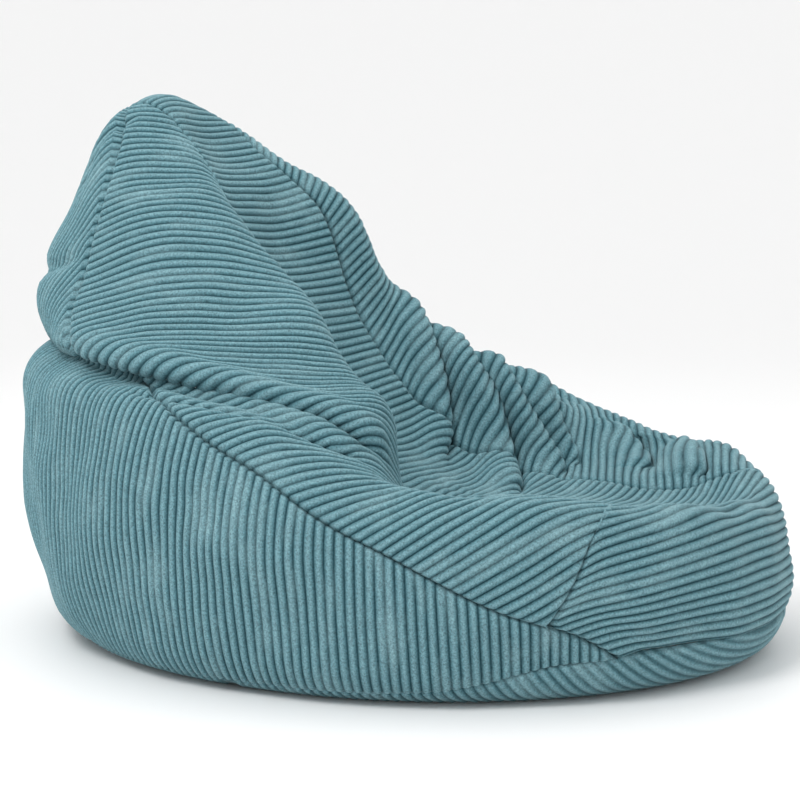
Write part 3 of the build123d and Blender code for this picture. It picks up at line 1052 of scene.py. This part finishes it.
def inner_bag(name, inset, bottom_height, rough, seed):
    """A closed bag a little inside the cover: the bag's points moved inward, then by the
    folds' moves.  The bottom is closed by rings that shrink to the middle."""
    grid = bag - inset * out_of_bag + (folded_bag - bag)
    grid = grid[::INNER_EVERY, ::INNER_EVERY]
    rng = np.random.default_rng(seed)
    middle = np.array([0.0, RING_AXIS_Y + 0.09, bottom_height])
    shrink = np.linspace(1, 0, BOTTOM_RINGS + 2)[1:-1, None, None]
    below = middle + shrink * (grid[-1] - middle)
    below[..., 2] = bottom_height
    grid = np.concatenate([grid[1:], below])
    rows, columns = grid.shape[:2]
    grid = grid + rough * rng.standard_normal((rows, columns, 1)) * np.array([0.3, 0.3, 1.0])
    p = np.concatenate([grid.reshape(-1, 3), [grid[0].mean(0)], [middle]])
    quads = squares_of(rows, columns, wrap=True)[:, [0, 3, 2, 1]]
    top, bottom = rows * columns, rows * columns + 1
    first, last = np.arange(columns), np.arange(columns) + (rows - 1) * columns
    fans = [(top, int(a), int(b)) for a, b in zip(first, np.roll(first, -1))] \
        + [(bottom, int(b), int(a)) for a, b in zip(last, np.roll(last, -1))]
    diagonals = p[quads[:, 2]] - p[quads[:, 0]], p[quads[:, 3]] - p[quads[:, 1]]
    area = float(np.linalg.norm(np.cross(*diagonals), axis=1).sum() / 2)
    return add_mesh(name, p, quads.tolist() + fans), area


liner, liner_area = inner_bag("liner_cloth_bag", LINER_INSET, LINER_BOTTOM, 0.0, 11)
fill, fill_area = inner_bag("bead_pile", FILL_INSET, FILL_BOTTOM, BEAD_ROUGHNESS, 12)
print("liner area", round(liner_area, 3), "fill area", round(fill_area, 3))

# %% [markdown]
# ## The base
# The base is a flat disc of the same cord that turns up at its edge to meet the panels.  Its
# ribs run from side to side.  It is made in two halves, and the zip between them shows
# through a long slot.

# %% Base halves
SLOT_HALF_LENGTH, SLOT_HALF_WIDTH = 0.285, 0.0100
MEETING_GAP = 0.0004
FAR_HEM = 0.0015
CLIMB_ROWS = 120
ABOVE_FLOOR = 0.0001
turned_up = bag[::-1]
climb_length = np.concatenate([np.zeros((1, AROUND)), np.cumsum(
    np.linalg.norm(np.diff(turned_up, axis=0), axis=2), axis=0)])
contact_radius = np.hypot(bag[-1, :, 0], bag[-1, :, 1] - RING_AXIS_Y)
grid_azimuth = np.linspace(-90, 270, AROUND, endpoint=False)
seam_out = np.hypot(*azimuth_line(BASE_SEAM, grid_azimuth).T)
seam_climb = climb_length[(np.round((1 - seam_out) * (DOWN - 1))).astype(int),
                          np.arange(AROUND)]
base_radius = contact_radius + seam_climb + OVERLAP


def around_base(values, azimuth):
    """A value given at each grid azimuth, read between them."""
    return np.interp(column_of(azimuth), np.arange(AROUND + 1), np.append(values, values[0]))


def base_half(side, per_rib, columns):
    """One half of the base.  Flat places are the disc's own, and beyond the floor's edge the
    flat distance is measured up the bag's side."""
    y_end = RING_AXIS_Y + side * base_radius[np.abs(grid_azimuth - side * 90).argmin()]
    step = RIB_PITCH / per_rib
    count = int((abs(y_end) - SLOT_HALF_WIDTH) / step)
    y = side * (SLOT_HALF_WIDTH + (abs(y_end) - SLOT_HALF_WIDTH - FAR_HEM)
                * np.linspace(0, 1, count))
    a = np.radians(grid_azimuth)
    loop = np.stack([base_radius * np.cos(a), RING_AXIS_Y + base_radius * np.sin(a)], -1)
    right = loop[np.cos(a) >= 0]
    order = right[:, 1].argsort()
    reach = np.interp(y, right[order, 1], right[order, 0])
    across = np.linspace(-1, 1, columns)
    x = np.sin(across * math.pi / 2)[:, None] * reach[None, :]
    flat = np.stack([x, np.broadcast_to(y, x.shape)], -1)
    at_slot = np.abs(flat[:, :1, 0]) < SLOT_HALF_LENGTH
    flat[:, :1, 1] = np.where(at_slot, side * SLOT_HALF_WIDTH, side * MEETING_GAP)
    azimuth = np.degrees(np.arctan2(flat[..., 1] - RING_AXIS_Y, flat[..., 0]))
    radius = np.hypot(flat[..., 0], flat[..., 1] - RING_AXIS_Y)
    beyond = radius - around_base(contact_radius, azimuth)
    column = column_of(azimuth)
    near = np.round(column).astype(int) % AROUND
    row = np.zeros(radius.shape)
    for k in range(CLIMB_ROWS):
        low, high = climb_length[k, near], climb_length[k + 1, near]
        inside = (beyond >= low) & (beyond < high)
        row = np.where(inside, k + (beyond - low) / (high - low + 1e-12), row)
    bent = read_grid(turned_up, row, column, True)
    bent_out = read_grid(out_of_bag[::-1], row, column, True)
    floor_height = np.full(radius.shape, bag[-1, :, 2].mean())
    lying = np.concatenate([flat, floor_height[..., None]], -1)
    point = np.where((beyond < 0)[..., None], lying, bent)
    settle = smooth_step(-0.012, 0.012, beyond)[..., None]
    out = (1 - settle) * np.array([0, 0, -1.0]) + settle * bent_out
    out /= np.linalg.norm(out, axis=-1, keepdims=True)
    rib = rib_shape(flat[..., 1] / RIB_PITCH)
    edge = np.abs(around_base(base_radius, azimuth) - radius)
    height = (RIB_HEIGHT - 0.0002) * rib * (0.25 + 0.75 * smooth_step(-0.001, 0.007, edge))
    dip = SEAM_DIP * np.exp(-(edge / SEAM_WIDTH) ** 2)
    point = point + out * (height - dip)[..., None]
    point[..., 2] = np.maximum(point[..., 2], ABOVE_FLOOR)
    rim = np.zeros(radius.shape, bool)
    rim[[0, -1]] = rim[:, -1:] = True
    return tuck_under(point, rim, out), flat, rib, edge


for half, side in (("front", -1), ("rear", 1)):
    point, flat, rib, edge = base_half(side, 6, 150)
    piece = grid_mesh("cord_base_" + half, point, flat[..., ::-1], rib, edge)
    size, area = flat_size(flat)
    dress(piece, "base_panel_" + half, teal_cord)
    print(piece.name, point.shape, "flat", [round(s, 3) for s in size], "area", round(area, 3))

# %% [markdown]
# ## Zip tapes and coils
# Each zip is a pair of woven tapes with a nylon coil sewn along each inner edge.  The tapes
# are thin sheets with a herringbone weave.  A coil is one thread wound round and round, and
# the two coils mesh, turn between turn.

# %% Tapes and coils
HERRINGBONE_WIDTH, WEAVE_STEP, WEAVE_DEPTH = 0.003, 0.0026, 0.12
THREAD_SHARE = 0.17


def tape_grid(node_name):
    """A woven tape as a sheet filling its place: rows across it, columns along it."""
    low, high = [np.array(c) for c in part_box(node_name)]
    x, y = np.meshgrid(np.linspace(low[0], high[0], 700), np.linspace(low[1], high[1], 25))
    zigzag = np.abs((y / HERRINGBONE_WIDTH) % 2 - 1) * HERRINGBONE_WIDTH
    weave = np.cos((x + zigzag) * 2 * math.pi / WEAVE_STEP)
    z = (low[2] + high[2]) / 2 + WEAVE_DEPTH * (high[2] - low[2]) * weave
    return np.stack([x, y, z], -1), (float(high[1] - low[1]), float(high[0] - low[0]))


def wound_coil(name, node_name, turns_apart, half_turn):
    """A coil: a thin round thread carried along a helix that fills the coil's place.

    The helix is (x, cy + a cos w, cz + b sin w) with w growing by one turn per pitch.
    """
    low, high = [np.array(c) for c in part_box(node_name)]
    centre, size = (low + high) / 2, high - low
    thread = THREAD_SHARE * min(size[1], size[2])
    turns = int(size[0] / turns_apart)
    w = np.linspace(0, 2 * math.pi * turns, turns * 10 + 1) + half_turn * math.pi
    x = np.linspace(low[0] + thread, high[0] - thread, len(w))
    a, b = size[1] / 2 - thread, size[2] / 2 - thread
    path = np.stack([x, centre[1] + a * np.cos(w), centre[2] + b * np.sin(w)], -1)
    way = np.gradient(path, axis=0)
    way /= np.linalg.norm(way, axis=1, keepdims=True)
    out = np.stack([0 * w, np.cos(w), np.sin(w)], -1)
    out -= (out * way).sum(1, keepdims=True) * way
    out /= np.linalg.norm(out, axis=1, keepdims=True)
    side = np.cross(way, out)
    v = np.linspace(0, 2 * math.pi, 6, endpoint=False)[None, :, None]
    tube = path[:, None] + thread * (np.cos(v) * out[:, None] + np.sin(v) * side[:, None])
    rows, columns = tube.shape[:2]
    first, last = list(range(columns))[::-1], list(range((rows - 1) * columns, rows * columns))
    return add_mesh(name, tube, squares_of(rows, columns, wrap=True).tolist() + [first, last])


def woven_material(name, dark, light, scale):
    """Plain woven cloth: fine crossed threads as bump, and colour darker in the weave's hollows
    as painted shade.
    """
    material, tree, shader = new_material(name)
    where = node(tree, "TexCoord", "Object")
    across, along = (node(tree, "TexWave", "Fac", {"Vector": where, "Scale": scale,
                                                   "Distortion": 0.4}, bands_direction=way)
                     for way in ("X", "Y"))
    cross = node(tree, "Math", "Value", {0: across, 1: along}, operation="MULTIPLY")
    roughen(tree, shader, cross, 0.4, 0.0003)
    # the weave's hollows take the dark colour as painted shade, its raised crossings the light
    # one
    feed(tree, shader, {"Base Color": ramp(tree, cross, [(0.0, dark), (0.6, light)]),
                        "Roughness": 0.8, "Sheen Weight": 0.15})
    return material


def speckled_material(name, dark, light, scale, roughness, metallic=0.0):
    """A finish with a fine uneven speckle: cast metal, moulded nylon or thread."""
    material, tree, shader = new_material(name)
    grain = node(tree, "TexNoise", "Fac", {"Vector": node(tree, "TexCoord", "Object"),
                                           "Scale": scale, "Detail": 4.0, "Roughness": 0.6})
    roughen(tree, shader, grain, 0.3, 0.0002)
    feed(tree, shader, {"Base Color": ramp(tree, grain, [(0.35, dark), (0.65, light)]),
                        "Roughness": roughness, "Metallic": metallic})
    return material


teal_tape = woven_material("teal_zip_tape", (0.03, 0.07, 0.08, 1), (0.08, 0.16, 0.18, 1), 400)
white_tape = woven_material("white_zip_tape", (0.45, 0.45, 0.43, 1), (0.75, 0.75, 0.72, 1), 400)
liner_white = woven_material("white_liner_cloth", (0.55, 0.55, 0.53, 1),
                             (0.82, 0.82, 0.80, 1), 500)
teal_nylon = speckled_material("teal_coil_nylon", (0.03, 0.07, 0.08, 1), (0.06, 0.12, 0.14, 1),
                               900, 0.35)
white_nylon = speckled_material("white_coil_nylon", (0.6, 0.6, 0.58, 1), (0.8, 0.8, 0.78, 1),
                                900, 0.35)
zinc = speckled_material("cast_zinc", (0.42, 0.42, 0.44, 1), (0.60, 0.60, 0.62, 1),
                         700, 0.35, 1.0)
steel = speckled_material("spring_steel_strip", (0.50, 0.50, 0.50, 1), (0.68, 0.68, 0.68, 1),
                          900, 0.22, 1.0)
teal_thread = speckled_material("sewing_thread_teal", (0.03, 0.08, 0.09, 1),
                                (0.09, 0.18, 0.20, 1), 2500, 0.7)
white_thread = speckled_material("sewing_thread_white", (0.6, 0.6, 0.58, 1),
                                 (0.82, 0.82, 0.8, 1), 2500, 0.7)

# %% [markdown]
# ## Foam beads
# The beads are expanded foam, white, about 4 mm across.  Their pile is one closed surface
# whose material shows the beads as round cells, grey towards their edges as painted shade.

# %% Foam bead material
foam, tree, shader = new_material("foam_beads")
cells = node(tree, "TexVoronoi", "Distance", {"Vector": node(tree, "TexCoord", "Object"),
                                              "Scale": 250.0})
roughen(tree, shader, cells, 1.0, 0.0015, invert=True)
# white bead centres, with painted shade in grey where the beads meet
feed(tree, shader, {"Base Color": ramp(tree, cells, [(0.2, (0.90, 0.90, 0.89, 1)),
                                                     (0.7, (0.45, 0.45, 0.45, 1))]),
                    "Roughness": 0.85})
print("foam cells", cells.node.inputs["Scale"].default_value, "per metre")

# %% [markdown]
# ## The inside and the zips
# The liner is a bag of thin cloth and the beads fill it.  The tapes are flat sheets, sewn to
# the base or to the liner, and each coil is sewn along the inner edge of its tape.  The
# sliders, lock springs, stops and stitches keep their exact shapes and only get a finish.

# %% Dress the inside pieces
dress(liner, "liner_bag", liner_white)
dress(fill, "bead_fill", foam)

ZIPS = [
    # zip, tape, coil and thread materials, start of the slot names, length of a turn, ground
    ("base_zip", teal_tape, teal_nylon, teal_thread, "", 0.0015, "cord_base_{half}"),
    ("liner_zip", white_tape, white_nylon, white_thread, "liner_", 0.0013, "liner_cloth_bag"),
]
for zip_name, tape_material, coil_material, sewn, slot_start, pitch, ground in ZIPS:
    for half, half_turn in (("front", 0.0), ("rear", 1.0)):
        points, size = tape_grid(f"{zip_name}_tape_{half}")
        level = np.ones(points.shape[:2])
        tape = grid_mesh(f"{zip_name}_woven_tape_{half}", points, points[..., :2], level, level)
        dress(tape, f"{zip_name}_tape_{half}", tape_material)
        coil = wound_coil(f"{zip_name}_wound_coil_{half}", f"{zip_name}_coil_{half}", pitch,
                          half_turn)
        dress(coil, f"{zip_name}_coil_{half}", coil_material)
        print(tape.name, "is", [round(side, 4) for side in size], "m")
    for part, finish in (("slider", zinc), ("lock_spring", steel), ("top_stops", zinc),
                         ("bottom_stop", zinc), ("stitching", sewn)):
        materials = bpy.data.objects[f"{zip_name}_{part}"].data.materials
        materials.clear()
        materials.append(finish)
print("finished the sliders, springs, stops and stitching")

# %% [markdown]
# ## The studio
# A pale floor curves up far away into a pale wall.  One large soft lamp above and to the
# left, a weaker one overhead and a faint one in front give the soft shadow the chair needs
# and let the ribs catch the light.

# %% Floor and lamps
FLAT_RADIUS, BOWL_RADIUS, WALL_HEIGHT = 4, 14, 9.0
world = bpy.data.worlds.new("studio")
bpy.context.scene.world = world
bpy.context.scene.view_settings.view_transform = "Standard"
world.use_nodes = True
feed(world.node_tree, world.node_tree.nodes["Background"],
     {"Color": (1.0, 1.0, 1.0, 1.0), "Strength": 1.0})

angle, radius = np.meshgrid(np.radians(np.arange(0, 360, 3)),
                            np.concatenate([[0.0], np.linspace(2, BOWL_RADIUS, 40)]))
past_flat = np.clip(radius - FLAT_RADIUS, 0, None) / (BOWL_RADIUS - FLAT_RADIUS)
bowl = np.stack([radius * np.cos(angle), radius * np.sin(angle), WALL_HEIGHT * past_flat**2.2],
                -1)
floor = add_mesh("floor", bowl, squares_of(*radius.shape, wrap=True)[:, [0, 3, 2, 1]].tolist())
floor_material, tree, shader = new_material("pale_floor")
feed(tree, shader, {"Base Color": (0.93, 0.93, 0.93, 1), "Roughness": 0.55})
floor.data.materials.append(floor_material)


def soft_lamp(name, place, size, power):
    """A square area lamp aimed at the middle of the chair."""
    lamp = bpy.data.objects.new(name, bpy.data.lights.new(name, "AREA"))
    lamp.data.size, lamp.data.energy = size, power
    bpy.context.scene.collection.objects.link(lamp)
    look_at(lamp, place, (0, 0, 0.3))


soft_lamp("key", (-2.2, 0.2, 2.9), 1.2, 46)
soft_lamp("fill", (1.6, -3.0, 1.6), 2.2, 5)
soft_lamp("top", (0.4, 0.8, 3.2), 2.0, 14)
